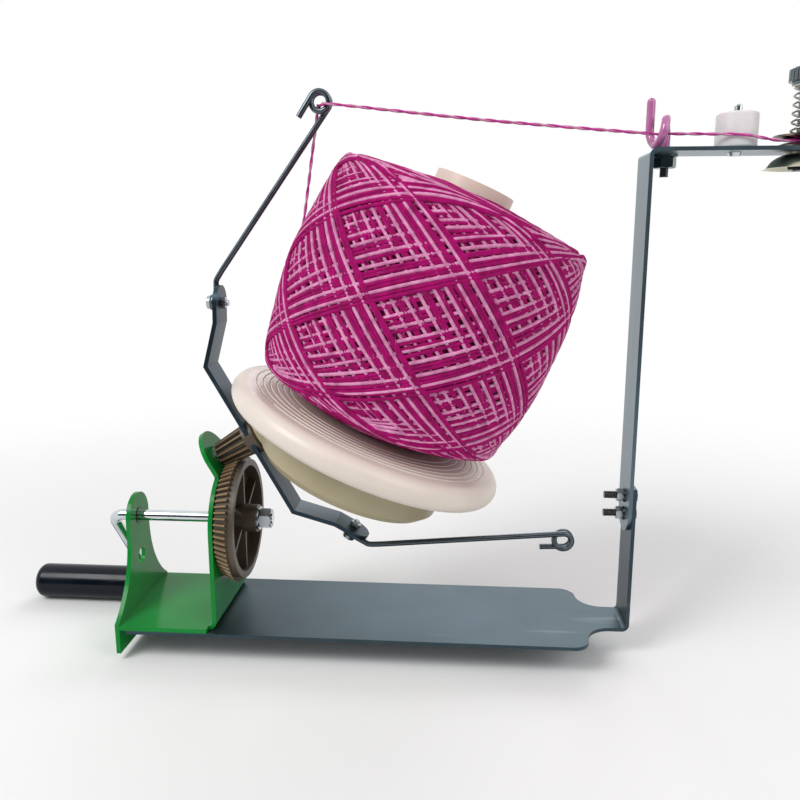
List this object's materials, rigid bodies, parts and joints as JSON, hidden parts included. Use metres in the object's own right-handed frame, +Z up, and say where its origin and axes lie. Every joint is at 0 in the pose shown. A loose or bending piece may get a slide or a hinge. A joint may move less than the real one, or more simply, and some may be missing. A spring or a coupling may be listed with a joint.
{
  "type": "yarn ball winder",
  "caption": "Hand-cranked yarn ball winder: a bevel gear drives a leaning flyer round a slowly turning tray, fed from a post with wax and a disc tensioner.",
  "frame": {"origin": "centre of the base plate's underside, midway between the outer bracket wall and the post tab", "axes": "+X along the base from the crank to the yarn arm, +Z up, the front is -Y"},
  "size_m": [0.5784, 0.198, 0.3957],
  "materials": {
    "zinc": "zinc plated sheet",
    "green": "gloss green enamel",
    "steel": "bright steel",
    "chrome": "polished plating",
    "hardware": "zinc plated fasteners",
    "black_nut": "black oxide",
    "bronze": "sintered bronze",
    "brown_nylon": "brown filled nylon",
    "cream": "cream moulding",
    "dish": "nickel plating",
    "black_grip": "black gloss",
    "pink": "pink dipped coating on wire",
    "wax": "white paraffin wax",
    "yarn": "fuzzy two-tone yarn"
  },
  "bodies": {
    "frame": {"base_plate": "zinc", "drive_bracket": "green", "bracket_screws": "hardware", "shaft_bushes": "bronze", "flyer_shaft": "steel", "shaft_lock_nut": "hardware", "thrust_washer": "hardware", "axle_carrier": "steel", "tray_axle": "steel", "axle_washer": "hardware", "axle_nut": "hardware", "gear_housing": "cream", "housing_screws": "hardware", "post": "zinc", "post_bolts": "hardware", "post_washers": "hardware", "post_nuts": "hardware", "pigtail_guide": "pink", "pigtail_washer": "hardware", "pigtail_nut": "hardware", "wax_pin": "steel", "tension_stud": "steel", "stud_nut": "black_nut", "bottom_dish": "dish", "lower_disc": "chrome", "yarn_lead": "yarn"},
    "crank": {"crank_rod": "chrome", "drive_gear": "brown_nylon", "gear_washer": "hardware", "gear_nut": "hardware"},
    "grip": {"grip": "black_grip"},
    "flyer": {"flyer_pinion": "brown_nylon", "tray_pinion": "brown_nylon", "flyer_bar": "steel", "upper_wire": "steel", "lower_wire": "steel", "flyer_screws": "hardware", "flyer_nuts": "hardware", "yarn_span": "yarn", "yarn_drop": "yarn"},
    "tray": {"tray": "cream", "tray_gear": "brown_nylon"},
    "package": {"core_tube": "cream", "yarn_package": "yarn"},
    "wax": {"wax_ring": "wax"},
    "disc": {"upper_disc": "chrome", "tension_spring": "steel"},
    "cap": {"spring_cap": "hardware"},
    "thumb": {"thumb_nut": "chrome"}
  },
  "joints": [
    {"name": "flyer_turn", "type": "hinge", "parent": "frame", "child": "flyer", "pos_m": [-0.196, 0, 0.071], "axis": [0.8704, 0, 0.4924], "continuous": true, "deforming": ["yarn_span", "yarn_drop"]},
    {"name": "crank_turn", "type": "hinge", "parent": "frame", "child": "crank", "pos_m": [-0.196, 0, 0.071], "axis": [1, 0, 0], "continuous": true},
    {"name": "tray_turn", "type": "hinge", "parent": "frame", "child": "tray", "pos_m": [-0.00828, 0, 0.13295], "axis": [0.3987, 0, 0.9171], "continuous": true},
    {"name": "package_lift", "type": "slide", "parent": "tray", "child": "package", "axis": [0.3987, 0, 0.9171], "range_m": [0, 0.025]},
    {"name": "grip_spin", "type": "hinge", "parent": "crank", "child": "grip", "pos_m": [-0.243, 0.05011, -0.00616], "axis": [1, 0, 0], "continuous": true},
    {"name": "wax_spin", "type": "hinge", "parent": "frame", "child": "wax", "pos_m": [0.23, 0, 0.337], "axis": [0, 0, 1], "continuous": true},
    {"name": "disc_lift", "type": "slide", "parent": "frame", "child": "disc", "axis": [0, 0, 1], "range_m": [0, 0.003], "stiffness_N_per_m": 400, "springref_m": -0.003, "deforming": ["tension_spring"]},
    {"name": "cap_slide", "type": "slide", "parent": "frame", "child": "cap", "axis": [0, 0, 1], "range_m": [-0.0024, 0.0016], "deforming": ["tension_spring"]},
    {"name": "thumb_turn", "type": "hinge", "parent": "cap", "child": "thumb", "pos_m": [0.269, 0, 0.369], "axis": [0, 0, 1], "range_deg": [-1085, 725], "deforming": ["tension_spring"]}
  ],
  "couplings": [
    {"joint": "crank_turn", "follows": "flyer_turn", "ratio": -0.2},
    {"joint": "tray_turn", "follows": "flyer_turn", "ratio": 0.125},
    {"joint": "thumb_turn", "follows": "cap_slide", "rad_per_m": 7854}
  ]
}
